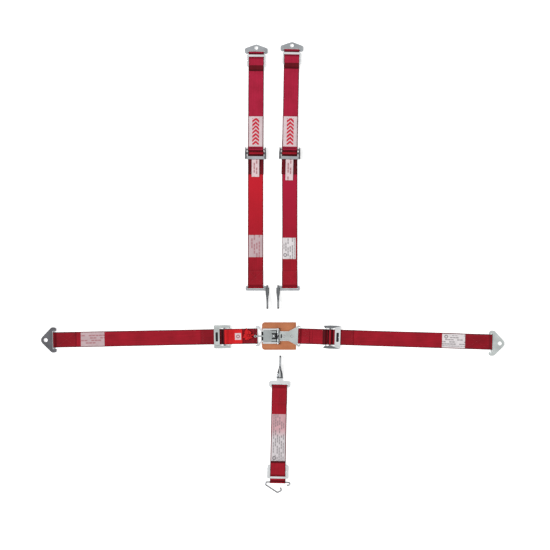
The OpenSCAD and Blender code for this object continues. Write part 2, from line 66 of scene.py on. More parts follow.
SIDES = ("left", "right")
JOINTS = {j["name"]: j for j in frame["joints"]}
NODES = frame["nodes"]

# ---------------------------------------------------------------- sizes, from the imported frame


class Place:
    """A strap's own frame: u runs along it, away from the buckle, v across it and z up."""

    def __init__(self, u, v, origin):
        self.u, self.v, self.origin = u, v, origin

    @classmethod
    def on_hinge(cls, joint, lifts_far_end=True):
        """The frame of the strap that a hinge lies across, starting below the hinge."""
        v = Vector(JOINTS[joint]["axis"]) * (-1 if lifts_far_end else 1)
        x, y, _ = JOINTS[joint]["pos_m"]
        return cls(v.cross(UP), v, Vector((x, y, 0)))

    def at(self, u, v, z):
        return self.origin + self.u * u + self.v * v + UP * z

    def along(self, point):
        """How far along the strap a point is."""
        return (point - self.origin).dot(self.u)

    def off_centre(self, point):
        """How far a point is from the strap's middle line, to either side."""
        return abs((point - self.origin).dot(self.v))

    def reach(self, joint):
        """How far along the strap a hinge's axis is."""
        return self.along(Vector(JOINTS[joint]["pos_m"]))

    def span(self, node):
        """The lowest and highest u that a CAD node reaches."""
        along = [self.along(vertex.co) for vertex in NODES[node].data.vertices]
        return min(along), max(along)

    def width(self, node):
        """The lowest and highest v that a CAD node reaches."""
        across = [(vertex.co - self.origin).dot(self.v) for vertex in NODES[node].data.vertices]
        return min(across), max(across)

    def moved(self, u):
        """The same frame, starting further along."""
        return Place(self.u, self.v, self.at(u, 0, 0))

    def turned(self, u):
        """The frame that runs back from u, for fittings that face the buckle."""
        return Place(-self.u, self.v, self.at(u, 0, 0))


LOW_BAR = JOINTS["shoulder_left_end_turn"]["pos_m"][2]
HIGH_BAR = JOINTS["lap_left_drape"]["pos_m"][2]
GAP = 0.3 * MM                      # running clearance between stacked layers
LAYER = HIGH_BAR - LOW_BAR          # pitch of stacked layers of webbing
WEB_T = LAYER - GAP
WEB_W = 50 * MM
LOOP_R = LOW_BAR - WEB_T / 2        # loop radius at the middle of the webbing
Z_LOW = WEB_T / 2                   # middle of a strap that lies on the surface
Z_HIGH = Z_LOW + LAYER              # middle of a strap that lies on another
SEWN_TOP = LAYER + WEB_T / 2        # top of a strap's sewn double part, above the strap's middle
SEWN_HALF = WEB_W * 0.42            # half the width of a sewn pattern
WRAP_W = WEB_W - 1 * MM             # webbing that passes through a frame
LABEL_W = 45 * MM
LABEL_T = 0.4 * MM
LABEL_RISE = WEB_T / 2 + 0.25 * MM  # middle of a label, above the strap's middle
PLATE_TOP = HIGH_BAR + 1.5 * MM     # top of the latch's and the link's plates
SLIDE_T = 2.8 * MM                  # thickness of a three-bar slide
SLIDE_BAR = 7 * MM                  # width of its end bars
SLIDE_SEWN = 1.5 * MM               # how far the strap's sewn end reaches beyond the slide
SLIDE_SETTLE = 6 * MM               # where the return layer meets a strap that has a slide

LAP = {side: Place.on_hinge(f"lap_{side}_drape") for side in SIDES}
LOWER = {side: Place.on_hinge(f"shoulder_{side}_end_turn", False) for side in SIDES}
CROTCH = Place.on_hinge("crotch_end_turn", False)
UPPER = {}
for side_name, place in LOWER.items():
    tilt = f"shoulder_{side_name}_tilt"
    UPPER[side_name] = Place.on_hinge(tilt, False).moved(-place.reach(tilt))

pad_low, pad_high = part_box("leather_pad")
PAD = (pad_low + pad_high) / 2      # middle of the buckle
LEVEL = Place(Vector((1, 0, 0)), Vector((0, 1, 0)), Vector((PAD.x, PAD.y, 0)))

# ---------------------------------------------------------------- shader helpers


class Wire:
    """A shader value that Python arithmetic extends by one Math node at a time."""

    def __init__(self, tree, socket):
        self.tree, self.socket = tree, socket

    def step(self, operation, *others, clamp=False):
        node = self.tree.nodes.new("ShaderNodeMath")
        node.operation, node.use_clamp = operation, clamp
        for slot, value in zip(node.inputs, (self, *others)):
            if isinstance(value, Wire):
                self.tree.links.new(value.socket, slot)
            else:
                slot.default_value = value
        return Wire(self.tree, node.outputs[0])

    def __add__(self, other):
        return self.step("ADD", other)

    def __sub__(self, other):
        return self.step("SUBTRACT", other)

    def __mul__(self, other):
        return self.step("MULTIPLY", other)

    def sine(self):
        return self.step("SINE")

    def fraction(self):
        return self.step("FRACT")

    def size(self):
        return self.step("ABSOLUTE")

    def above(self, limit):
        return self.step("GREATER_THAN", limit)

    def below(self, limit):
        return self.step("LESS_THAN", limit)

    def ramp(self, low, high):
        """0 at low, 1 at high, and straight between them."""
        return (self - low).step("MULTIPLY", 1 / (high - low), clamp=True)


class Paint:
    """A material under construction, with its Principled shader."""

    def __init__(self, name, roughness, metallic=0.0, **sockets):
        self.material = bpy.data.materials.new(name)
        self.material.use_nodes = True
        self.tree = self.material.node_tree
        self.shader = self.tree.nodes["Principled BSDF"]
        self.shader.inputs["Roughness"].default_value = roughness
        self.shader.inputs["Metallic"].default_value = metallic
        for socket, value in sockets.items():
            self.shader.inputs[socket.replace("_", " ")].default_value = value

    def place(self, layer=None):
        """Coordinates in metres: a piece's own cloth layer, or the object's."""
        if layer:
            node = self.tree.nodes.new("ShaderNodeUVMap")
            node.uv_map = layer
            return node.outputs["UV"]
        return self.tree.nodes.new("ShaderNodeTexCoord").outputs["Object"]

    def split(self, vector):
        node = self.tree.nodes.new("ShaderNodeSeparateXYZ")
        self.tree.links.new(vector, node.inputs[0])
        return [Wire(self.tree, out) for out in node.outputs]

    def turned(self, level, steep):
        """How far a face is turned away from the horizontal, from 0 to 1."""
        _, _, facing = self.split(self.tree.nodes.new("ShaderNodeTexCoord").outputs["Normal"])
        return facing.size().ramp(level, steep)

    def noise(self, vector, scale, detail=3.0, roughness=0.55, stretch=None):
        if stretch:
            mapping = self.tree.nodes.new("ShaderNodeMapping")
            mapping.inputs["Scale"].default_value = stretch
            self.tree.links.new(vector, mapping.inputs["Vector"])
            vector = mapping.outputs[0]
        node = self.tree.nodes.new("ShaderNodeTexNoise")
        node.inputs["Scale"].default_value = scale
        node.inputs["Detail"].default_value = detail
        node.inputs["Roughness"].default_value = roughness
        self.tree.links.new(vector, node.inputs["Vector"])
        return Wire(self.tree, node.outputs["Fac"])

    def cells(self, vector, scale):
        """0 at the borders of random cells, and more inside them."""
        node = self.tree.nodes.new("ShaderNodeTexVoronoi")
        node.feature = "DISTANCE_TO_EDGE"
        node.inputs["Scale"].default_value = scale
        self.tree.links.new(vector, node.inputs["Vector"])
        return Wire(self.tree, node.outputs[0])

    def mix(self, amount, first, second):
        """A colour between two colours or sockets."""
        node = self.tree.nodes.new("ShaderNodeMix")
        node.data_type = "RGBA"
        self.tree.links.new(amount.socket, node.inputs[0])
        for slot, value in ((node.inputs[6], first), (node.inputs[7], second)):
            if isinstance(value, tuple):
                slot.default_value = (*value, 1)
            else:
                self.tree.links.new(value, slot)
        return node.outputs[2]

    def colour(self, socket):
        self.tree.links.new(socket, self.shader.inputs["Base Color"])

    def rough(self, wire):
        self.tree.links.new(wire.socket, self.shader.inputs["Roughness"])

    def bump(self, height, depth, strength=1.0):
        """Height runs from 0 to 1, and depth is in metres."""
        node = self.tree.nodes.new("ShaderNodeBump")
        node.inputs["Strength"].default_value = strength
        node.inputs["Distance"].default_value = depth
        self.tree.links.new(height.socket, node.inputs["Height"])
        self.tree.links.new(node.outputs[0], self.shader.inputs["Normal"])


# ---------------------------------------------------------------- materials

CLOTH = "cloth"                     # the layer that holds metres across and along a strap
CHEVRON_W = 2.1 * MM                # width of one chevron of the weave
YARN = 1.5 * MM                     # pitch of its yarns along the strap
LABEL_YARN = 0.7 * MM               # pitch of a label's finer weave


def dimmed(colour, share):
    return tuple(c * share for c in colour)


def webbing_paint(name, thread, shade, glow, fade=None):
    """Narrow woven webbing: chevron yarns, worn patches, and painted shade on its selvedges and where it
    turns down.

    fade is a colour that the webbing turns to further along."""
    paint = Paint(name, 0.72, Sheen_Weight=0.04, Sheen_Roughness=0.4, Specular_IOR_Level=0.14)
    across, along, _ = paint.split(paint.place(CLOTH))
    column = across * (1 / CHEVRON_W)
    lean = (column.fraction() - 0.5).size()
    yarn = ((along * (1 / YARN) + lean * 1.6) * math.tau).sine() * 0.5 + 0.5
    rib = (column * math.tau * 2).sine() * 0.5 + 0.5
    weave = yarn * 0.65 + rib * 0.35
    # Painted shade: darker bands along both selvedges.
    edge = across.size().ramp(WEB_W * 0.44, WEB_W * 0.475)
    wear = paint.noise(paint.place(), 22, 4.0, 0.6)
    streak = paint.noise(paint.place(CLOTH), 9, 3.0, 0.5, stretch=(40, 1.2, 1))
    base = paint.mix(weave.ramp(0.15, 0.75), shade, thread)
    lit = paint.mix((wear * 0.6 + streak * 0.5).ramp(0.38, 0.75), base, glow)
    if fade:
        lit = paint.mix(along.ramp(0.16, 0.40) * (weave * 0.2 + 0.7), lit, fade)
    # Painted shade where the webbing turns down and along its selvedges, in a darkened copy of the shade
    # colour.
    dark = (paint.turned(0.985, 0.8) * 0.85).step("MAXIMUM", edge * 0.9)
    paint.colour(paint.mix(dark, lit, dimmed(shade, 0.25)))
    paint.rough((weave * -0.12 + wear * 0.1) + 0.74)
    paint.bump(weave, 0.22 * MM, 0.55)
    return paint.material


def label_paint(name, cloth, ink, width, rows=0, motif=None, emblem=None, far=None):
    """A woven label with fine ribs and abstract printed marks, and no lettering.

    rows is the pitch of its rows of short bars. motif is the colour of a band of chevrons down
    its middle. emblem is the middle of a plain dark ring. far is the cloth's colour further along."""
    paint = Paint(name, 0.8, Sheen_Weight=0.05, Specular_IOR_Level=0.15)
    where = paint.place(CLOTH)
    across, along, _ = paint.split(where)
    turns = math.tau / LABEL_YARN
    fine = ((along * turns).sine() + (across * turns).sine()) * 0.25 + 0.5
    soil = paint.noise(paint.place(), 45, 4.0, 0.6)
    ground = paint.mix(soil.ramp(0.35, 0.8), cloth, dimmed(cloth, 0.8))
    if far:
        ground = paint.mix(along.ramp(50 * MM, 78 * MM), ground, far)
    if rows:
        row = across * (1 / rows)
        band = (row.fraction() - 0.5).size().below(0.27)
        number = row - row.fraction()
        dash = along * (0.72 / rows) + number * 0.37
        place_number = (dash - dash.fraction()) * 12.9898 + number * 78.233
        chance = (place_number.sine() * 437.585).fraction()
        printed = chance.above(0.3) * dash.fraction().below(0.86) * across.size().below(width * 0.4)
        ground = paint.mix(band * printed * 0.7, ground, ink)
    if motif:
        tooth = across.size() * 0.9 + paint.noise(where, 90, 2.0, 0.5) * 6 * MM
        line = ((along + tooth) * (1 / (12.5 * MM))).fraction()
        inside = across.size().below(width * 0.25) * (along - 49 * MM).size().below(43 * MM)
        ground = paint.mix((line - 0.5).size().below(0.33) * inside, ground, motif)
    if emblem:
        du, dv = along - emblem[1], across - emblem[0]
        distance = (du * du + dv * dv).step("SQRT")
        ring = (distance - 4.6 * MM).size().below(1.5 * MM)
        ground = paint.mix(ring * 0.85, ground, ink)
    paint.colour(ground)
    paint.bump(fine, 0.06 * MM, 0.5)
    return paint.material


def metal_paint(name, colour, roughness, grain, marks, dull=0.8, edge_shading=0.3):
    """Plated metal with fine grain and duller patches. Where an edge turns down, its colour is scaled by a
    share: painted shade below 1, and a painted highlight above 1.
    """
    paint = Paint(name, roughness, 1.0)
    where = paint.place()
    lines = paint.noise(where, 60, 3.0, 0.6, stretch=(1, 14, 1))
    cloud = paint.noise(where, 28, 4.0, 0.6)
    # Painted shade and dark reflection on faces that turn away from the horizontal.
    turned = paint.turned(0.985, 0.72)
    plain = paint.mix(cloud.ramp(0.3, 0.75), dimmed(colour, dull), colour)
    paint.colour(paint.mix(turned, plain, dimmed(colour, edge_shading)))
    paint.rough(lines * grain + cloud * (grain * 0.6) + (roughness - grain * 0.6))
    paint.bump(lines * 0.5 + cloud * 0.5, marks)
    return paint.material


def leather_paint():
    """Tan leather: pebbled grain, darker burnished edges and soft colour patches."""
    paint = Paint("tan_leather", 0.5, Coat_Weight=0.08, Coat_Roughness=0.4, Specular_IOR_Level=0.4)
    where = paint.place()
    pebble = paint.cells(where, 620)
    pores = paint.noise(where, 900, 4.0, 0.7)
    patch = paint.noise(where, 26, 4.0, 0.55)
    streak = paint.noise(where, 18, 3.0, 0.5, stretch=(1, 7, 1))
    cloudy = (patch * 0.6 + streak * 0.4).ramp(0.34, 0.68)
    skin = paint.mix(cloudy, (0.400, 0.118, 0.038), (0.540, 0.190, 0.072))
    _, _, height = paint.split(where)
    rim = height.ramp(pad_high.z - 0.25 * MM, pad_high.z - 1.5 * MM)
    skin = paint.mix(rim * 0.75, skin, (0.26, 0.075, 0.028))
    paint.colour(paint.mix(pebble.ramp(0.12, 0.0) * 0.3, skin, (0.30, 0.085, 0.03)))
    paint.rough(pores * 0.2 + 0.4)
    paint.bump(pebble.ramp(0.0, 0.25) * 0.7 + pores * 0.3, 0.14 * MM, 0.7)
    return paint.material


def thread_paint(name, colour):
    paint = Paint(name, 0.62, Sheen_Weight=0.2)
    plies = paint.noise(paint.place(), 700, 2.0, 0.5)
    paint.colour(paint.mix(plies.ramp(0.3, 0.7), dimmed(colour, 0.7), colour))
    paint.bump(plies, 0.08 * MM)
    return paint.material


RED = webbing_paint("webbing_red", (0.300, 0.0062, 0.0165), (0.150, 0.0024, 0.0070),
                    (0.380, 0.0090, 0.0230))
# A darker copy of the red webbing, which paints shade on parts of straps.
RED_SHADED = webbing_paint("webbing_deep", (0.220, 0.0045, 0.0120), (0.100, 0.0018, 0.0050),
                     (0.290, 0.0062, 0.0160))
ROSE = webbing_paint("webbing_rose", (0.370, 0.0100, 0.0380), (0.200, 0.0045, 0.0160),
                     (0.440, 0.0150, 0.0520))
BRIGHT = webbing_paint("webbing_bright", (0.640, 0.0120, 0.0160), (0.380, 0.0050, 0.0070),
                       (0.740, 0.0200, 0.0240))
# A still darker copy of the red webbing, which paints deep shade on loops, wraps and folds.
RED_DEEP_SHADED = webbing_paint("webbing_maroon", (0.110, 0.0024, 0.0075), (0.045, 0.0010, 0.0028),
                       (0.160, 0.0036, 0.0100))
LOWER_RED = ((0.290, 0.0062, 0.0155), (0.150, 0.0024, 0.0070), (0.360, 0.0085, 0.0210))
FADED = webbing_paint("webbing_faded", *LOWER_RED, fade=(0.560, 0.0110, 0.0240))
BLUSHED = webbing_paint("webbing_blushed", *LOWER_RED, fade=(0.400, 0.0100, 0.0420))
SHADOW = (0.16, 0.14, 0.15)
SMALL_CLOTH = (0.72, 0.56, 0.58)
SMALL_INK = (0.30, 0.05, 0.06)
TAB_W = 24.5 * MM
TAG_W = 22 * MM
LABEL_LEFT = label_paint("label_left", (0.54, 0.40, 0.42), (0.34, 0.10, 0.12), LABEL_W, rows=8 * MM)
LABEL_RIGHT = label_paint("label_right", (0.72, 0.68, 0.69), SHADOW, LABEL_W, rows=7 * MM,
                          emblem=(13 * MM, 13 * MM))
LABEL_PINK = label_paint("label_pink", (0.60, 0.35, 0.38), SHADOW, 44 * MM, rows=6.5 * MM,
                         emblem=(-13 * MM, 143 * MM), far=(0.60, 0.56, 0.575))
TAB_WHITE = label_paint("tab_white", SMALL_CLOTH, SMALL_INK, TAB_W, rows=8 * MM)
TAG_WHITE = label_paint("tag_white", SMALL_CLOTH, SMALL_INK, TAG_W, emblem=(0.0, 10 * MM))
PATCH = label_paint("patch_cloth", (0.68, 0.55, 0.57), SHADOW, LABEL_W, motif=(0.52, 0.022, 0.045))
LEATHER = leather_paint()
THREAD_RED = thread_paint("thread_red", (0.30, 0.012, 0.025))
THREAD_DARK = thread_paint("thread_dark", (0.10, 0.006, 0.010))
THREAD_TAN = thread_paint("thread_tan", (0.30, 0.11, 0.04))
THREAD_PALE = thread_paint("thread_pale", (0.62, 0.56, 0.55))
CHROME = metal_paint("chrome_plate", (0.84, 0.86, 0.87), 0.20, 0.12, 0.03 * MM, 0.8, 0.12)
LATCH = metal_paint("latch_steel", (0.42, 0.45, 0.45), 0.34, 0.16, 0.05 * MM, 0.75, 0.12)
SATIN = metal_paint("chrome_satin", (0.56, 0.60, 0.59), 0.34, 0.16, 0.05 * MM, 0.75, 0.12)
ZINC = metal_paint("zinc_plate", (0.44, 0.46, 0.48), 0.36, 0.16, 0.05 * MM, 0.7, 0.12)
GREY = metal_paint("grey_plate", (0.20, 0.21, 0.22), 0.40, 0.16, 0.05 * MM, 0.7, 0.3)
# Its turned edges are scaled lighter than its faces: a painted highlight on its edges.
DARK = metal_paint("dark_steel", (0.13, 0.13, 0.14), 0.38, 0.16, 0.05 * MM, 0.6, 2.4)
# Near black, for plates that paint shade in pockets and slots.
SHADE = metal_paint("dark_recess", (0.035, 0.035, 0.037), 0.55, 0.10, 0.02 * MM)
WIRE_STEEL = metal_paint("wire_steel", (0.42, 0.43, 0.45), 0.28, 0.10, 0.02 * MM, 0.8, 0.3)
# Nearly black metal that paints a dark reflection on the shoulder adjusters' ears.
EAR_REFLECTION_DARK = metal_paint("pewter_plate", (0.115, 0.120, 0.125), 0.40, 0.16, 0.05 * MM, 0.7, 0.3)

# ---------------------------------------------------------------- paths in a strap's u-z plane

LOOP_TURN = 130                     # how far a loop's return layer follows its bar, in degrees
SETTLE = 9 * MM                     # where the return layer meets the strap


def between(a, b, share):
    """The point at a share of the way from one point to another."""
    return tuple(p + (q - p) * share for p, q in zip(a, b))


def arc(centre, radius, start, end):
    steps = 14
    angles = [math.radians(start + (end - start) * i / steps) for i in range(steps + 1)]
    return [(centre[0] + radius * math.cos(a), centre[1] + radius * math.sin(a)) for a in angles]


def near_loop(u, z, sewn):
    """A loop at a strap's buckle end, from the end of its return layer to the strap."""
    turned = arc((u, z + LOOP_R), LOOP_R, 180 - LOOP_TURN, 270)
    return [(u + sewn, z + LAYER), (u + SETTLE, z + LAYER)] + turned


def far_loop(u, z, sewn, settle=SETTLE):
    """A loop at a strap's far end, from the strap to the end of its return layer."""
    turned = arc((u, z + LOOP_R), LOOP_R, -90, LOOP_TURN)
    return turned + [(u - settle, z + LAYER), (u - sewn, z + LAYER)]


def rounded(path):
    """Two rounds of corner cutting, which keeps the ends."""
    most, reach = 0.25, 1.2 * MM
    for _ in range(2):
        out = [path[0]]
        for a, b in zip(path, path[1:]):
            length = math.dist(a, b)
            share = min(most, reach / length) if length else most
            out += [between(a, b, share), between(b, a, share)]
        path = out + [path[-1]]
    return path


def spaced(path, step):
    """The path with points added so that none are more than a step apart."""
    out = [path[0]]
    for a, b in zip(path, path[1:]):
        count = max(1, math.ceil(math.dist(a, b) / step))
        out += [between(a, b, i / count) for i in range(1, count + 1)]
    return out


# ---------------------------------------------------------------- mesh helpers


def new_object(name, vertices, faces, material, smooth=True):
    mesh = bpy.data.meshes.new(name)
    mesh.from_pydata([tuple(v) for v in vertices], [], faces)
    mesh.validate()
    if smooth:
        mesh.polygons.foreach_set("use_smooth", [True] * len(mesh.polygons))
    mesh.materials.append(material)
    piece = bpy.data.objects.new(name, mesh)
    bpy.context.scene.collection.objects.link(piece)
    return piece


def bands(start, rings, sides, inward=False):
    """The faces between rings of corners that are numbered in one row."""
    faces = []
    for r in range(rings - 1):
        for k in range(sides):
            a = start + r * sides + k
            b = start + r * sides + (k + 1) % sides
            faces.append((a, a + sides, b + sides, b) if inward else (a, b, b + sides, a + sides))
    return faces


# From a strap's edge to its middle line: share of half the width, share of the full thickness
SELVEDGE = [(1.0, 0.30), (0.988, 0.80), (0.965, 1.0), (0.92, 1.0), (0.8, 0.94), (0.55, 0.97), (0.25, 1.0),
            (0.0, 1.0)]
ACROSS = [(-x, t) for x, t in SELVEDGE] + [(x, t) for x, t in reversed(SELVEDGE[:-1])]
LABEL_EDGE = [(-1.0, 0.3), (-0.985, 1.0), (-0.6, 1.0), (0.0, 1.0), (0.6, 1.0), (0.985, 1.0), (1.0, 0.3)]


def strap(name, place, path, material, width=WEB_W, thick=WEB_T, wander=0.0, profile=ACROSS, side=0.0):
    """A woven strap with rounded selvedges that follows a path and keeps its length."""
    path = spaced(rounded(path), 5 * MM)
    count, columns = len(path), len(profile)
    lengths = [0.0]
    for a, b in zip(path, path[1:]):
        lengths.append(lengths[-1] + math.dist(a, b))
    rings = []
    seed = sum(map(ord, name)) % 97
    for i, (u, z) in enumerate(path):
        before, after = path[max(i - 1, 0)], path[min(i + 1, count - 1)]
        du, dz = after[0] - before[0], after[1] - before[1]
        size = math.hypot(du, dz) or 1.0
        nu, nz = -dz / size, du / size
        drift = noise.noise(Vector((lengths[i] * 9, seed, 0.5))) * wander
        top, bottom = [], []
        for share, full in profile:
            v = side + share * width / 2 * (1 + drift / width) + drift * 0.4
            half = thick / 2 * full
            top.append(place.at(u + nu * half, v, z + nz * half))
            bottom.append(place.at(u - nu * half, v, z - nz * half))
        rings.append(top + bottom[::-1])
    loop = 2 * columns
    vertices = [p for ring in rings for p in ring]
    faces = bands(0, count, loop)
    for i, order in ((0, 1), (count - 1, -1)):
        first, last = i * loop, i * loop + loop - 1
        for k in range(columns - 1):
            faces.append((first + k, last - k, last - k - 1, first + k + 1)[::order])
    piece = new_object(name, vertices, faces, material)
    layer = piece.data.uv_layers.new(name=CLOTH)
    shares = [share for share, _ in profile]
    for corner in piece.data.loops:
        ring, k = divmod(corner.vertex_index, loop)
        column = k if k < columns else loop - 1 - k
        layer.data[corner.index].uv = (shares[column] * width / 2, lengths[ring])
    piece["length"] = lengths[-1]
    return piece


# Along one stitch: share of half its length, share of its radius, height of its middle in radii
STITCH_RINGS = [(-1.0, 0.15, -0.9), (-0.72, 0.9, -0.1), (0.0, 1.0, 0.35), (0.72, 0.9, -0.1),
                (1.0, 0.15, -0.9)]


def stitches(name, place, lines, z, body, material, stitch=2.6 * MM, space=1.1 * MM, radius=0.32 * MM):
    """Rows of sewn stitches, each one a short thread that dives in at both ends, as one piece."""
    vertices, faces = [], []
    sides = 6
    for a, b in lines:
        a, b = Vector(a), Vector(b)
        length = (b - a).length
        count = max(1, round(length / (stitch + space)))
        along = (b - a).normalized()
        over = Vector((-along.y, along.x))
        for i in range(count):
            middle = a + along * length * (i + 0.5) / count
            half = length / count * stitch / (stitch + space) / 2
            start = len(vertices)
            for share, fat, rise in STITCH_RINGS:
                for k in range(sides):
                    turn = math.tau * k / sides
                    flat = middle + along * share * half + over * math.cos(turn) * radius * fat
                    vertices.append(place.at(flat.x, flat.y, z + radius * (rise + math.sin(turn) * fat)))
            end = len(vertices) - sides
            faces += bands(start, len(STITCH_RINGS), sides, inward=True)
            faces.append(tuple(range(start, start + sides)))
            faces.append(tuple(reversed(range(end, end + sides))))
    piece = new_object(name, vertices, faces, material)
    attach(piece, body)


def box_stitch(u0, u1, half, cross=True):
    """A sewn rectangle, with a cross through it."""
    corners = [(u0, -half), (u1, -half), (u1, half), (u0, half)]
    lines = list(zip(corners, corners[1:] + corners[:1]))
    if cross:
        lines += [((u0, -half), (u1, half)), ((u0, half), (u1, -half))]
    return lines


def zigzag(u0, u1, half, teeth):
    """Rows of a W-shaped sewing pattern across the strap."""
    points = [(u0 if i % 2 else u1, -half + 2 * half * i / teeth) for i in range(teeth + 1)]
    return list(zip(points, points[1:]))


# ---------------------------------------------------------------- straps


def sewn_strap(name, place, path, body, node, material):
    """A strap that stands for a CAD strap node."""
    piece = strap(name, place, path, material, wander=0.7 * MM)
    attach(piece, body)
    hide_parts(node)
    return piece


def label(name, place, u0, u1, z, body, material, width, v=0.0, border=THREAD_PALE):
    """A sewn label that lies on a strap, with a stitched edge."""
    piece = strap(name, place, [(u0, z), (u1, z)], material, width, LABEL_T, profile=LABEL_EDGE, side=v)
    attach(piece, body)
    inset = 1.6 * MM
    lines = box_stitch(u0 + inset, u1 - inset, width / 2 - inset, cross=False)
    lines = [((a[0], a[1] + v), (b[0], b[1] + v)) for a, b in lines]
    stitches(f"{name}_stitches", place, lines, z + LABEL_T / 2, body, border, 1.9 * MM, 0.9 * MM, 0.2 * MM)
    return piece


def strap_label(node, place, body, material, z):
    """The label that stands for a CAD label node, on a strap whose middle is at z."""
    u0, u1 = place.span(node)
    v0, v1 = place.width(node)
    piece = label(f"{node}_cloth", place, u0, u1, z + LABEL_RISE, body, material, v1 - v0, (v0 + v1) / 2)
    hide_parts(node)
    v1 - v0
    u1 - u0


def wrap_path(lock, tail):
    """The webbing over an adjuster's lock bar, then down on the strap to the end of its tail."""
    over = [(8.2, 4.4), (6, 8.4), (3.6, 11.7), (0, 12.8), (-3.2, 11.8), (-5.6, 9), (-6.4, 6.2), (-6.6, 3.4)]
    return [(tail, Z_HIGH), (lock + 13 * MM, Z_HIGH)] + [(lock + u * MM, z * MM) for u, z in over]


def swap_webbing(piece, place, low, high, material):
    """Gives another webbing to the part of a strap between two distances. The script uses it to paint shade
    with darker copies of the red, and to give the plain red back beyond such shade.
    """
    piece.data.materials.append(material)
    for polygon in piece.data.polygons:
        if low < place.along(polygon.center) < high:
            polygon.material_index = len(piece.data.materials) - 1


def adjuster_wrap(prefix, place, near, far, change, side=0.0):
    """The webbing that passes round an adjuster's lock bar. At some distance it changes from one webbing to
    another, and the darker of the two paints shade.
    """
    node = f"{prefix}_adjuster_web"
    tail = place.span(node)[1]
    bar = place.span(f"{prefix}_lock_bar")
    piece = strap(f"{prefix}_wrap", place, wrap_path(sum(bar) / 2, tail), near, WRAP_W, side=side)
    swap_webbing(piece, place, change, tail + WEB_T, far)
    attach(piece, f"{prefix}_adjuster")
    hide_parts(node)
    pattern = zigzag(tail - 9 * MM, tail - 3 * MM, SEWN_HALF, 10)
    stitches(f"{prefix}_wrap_stitches", place, pattern, Z_HIGH + WEB_T / 2, f"{prefix}_adjuster", THREAD_RED)
    return piece


def lap_half(side):
    """One half of the lap belt: inner webbing, outer webbing, label and the adjuster's webbing."""
    prefix = f"lap_{side}"
    place = LAP[side]
    left = side == "left"
    bar = place.reach(f"{prefix}_tilt")
    inner = near_loop(0, Z_HIGH, 34 * MM) + far_loop(bar, Z_HIGH, 40 * MM)
    # The left inner strap takes the darker copy of the red as painted shade, and each inner strap gets
    # painted deep shade round the adjuster's bar.
    piece = sewn_strap(f"{prefix}_inner", place, inner, prefix, f"{prefix}_inner_web", RED_SHADED if left else RED)
    swap_webbing(piece, place, bar - 6 * MM, bar + 20 * MM, RED_DEEP_SHADED)
    pattern = zigzag(13 * MM, 31 * MM, SEWN_HALF, 8) + box_stitch(12 * MM, 32 * MM, SEWN_HALF, cross=False)
    stitches(f"{prefix}_inner_stitches", place, pattern, Z_HIGH + SEWN_TOP, prefix, THREAD_RED)
    start = place.span(f"{prefix}_outer_web")[0]
    reach = place.reach(f"{prefix}_swing")
    sewn = (71 if left else 85) * MM
    outer = [(start, Z_LOW)] + far_loop(reach, Z_LOW, sewn)
    piece = sewn_strap(f"{prefix}_outer", place, outer, f"{prefix}_outer", f"{prefix}_outer_web", RED)
    # Painted shade on the outer strap's sewn return and its loop.
    swap_webbing(piece, place, reach - sewn, reach + 9 * MM, RED_SHADED)
    pattern = box_stitch(reach - sewn + 3 * MM, reach - 13 * MM, SEWN_HALF)
    stitches(f"{prefix}_outer_stitches", place, pattern, Z_LOW + SEWN_TOP, f"{prefix}_outer", THREAD_RED)
    strap_label(f"{prefix}_label", place, f"{prefix}_outer", LABEL_LEFT if left else LABEL_RIGHT, Z_LOW)
    from_bar = place.moved(bar)
    # Painted deep shade round the lock bar, the plain red beyond it, and painted shade on the tail.
    piece = adjuster_wrap(prefix, from_bar, RED_DEEP_SHADED, RED, (33 if left else 13) * MM)
    swap_webbing(piece, from_bar, 46 * MM, 110 * MM, RED_SHADED)


def shoulder(side):
    """One shoulder strap: lower and upper webbing, label, patch, adjuster, slide and release tab."""
    prefix = f"shoulder_{side}"
    low, high = LOWER[side], UPPER[side]
    left = side == "left"
    bar = low.reach(f"{prefix}_tilt")
    end = low.span(f"{prefix}_lower_web")[1]
    lower = near_loop(0, Z_LOW, 55 * MM) + [(end, Z_LOW)]
    sewn_strap(f"{prefix}_lower", low, lower, prefix, f"{prefix}_lower_web", FADED if left else BLUSHED)
    pattern = box_stitch(12 * MM, 52 * MM, SEWN_HALF)
    stitches(f"{prefix}_lower_stitches", low, pattern, Z_LOW + SEWN_TOP, prefix, THREAD_RED)
    strap_label(f"{prefix}_label", low, prefix, LABEL_LEFT if left else LABEL_RIGHT, Z_LOW)
    reach = high.reach(f"{prefix}_swing")
    patch0, patch1 = high.span(f"{prefix}_patch")
    slide0, slide1 = high.span(f"{prefix}_slide")
    threaded = reach - slide0 + SLIDE_SEWN
    upper = near_loop(bar, Z_HIGH, patch1 - bar + 2 * MM) + far_loop(reach, Z_HIGH, threaded, SLIDE_SETTLE)
    sewn_strap(f"{prefix}_upper", high, upper, f"{prefix}_upper", f"{prefix}_upper_web", ROSE)
    piece = label(f"{prefix}_patch_cloth", high, patch0, patch1, Z_HIGH + LAYER + LABEL_RISE,
                  f"{prefix}_upper", PATCH, LABEL_W, border=THREAD_DARK)
    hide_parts(f"{prefix}_patch")
    patch1 - patch0
    back = high.turned(bar)
    # Painted deep shade on the wrap's tail, under the release tab.
    adjuster_wrap(prefix, back, RED, RED_DEEP_SHADED, 32 * MM, (-2 if left else 1) * MM)
    slide_wrap(prefix, high.turned(reach), reach - slide1, slide1 - slide0, Z_HIGH, f"{prefix}_slide_web",
               ROSE, -3 * MM)
    release_tab(prefix, back)


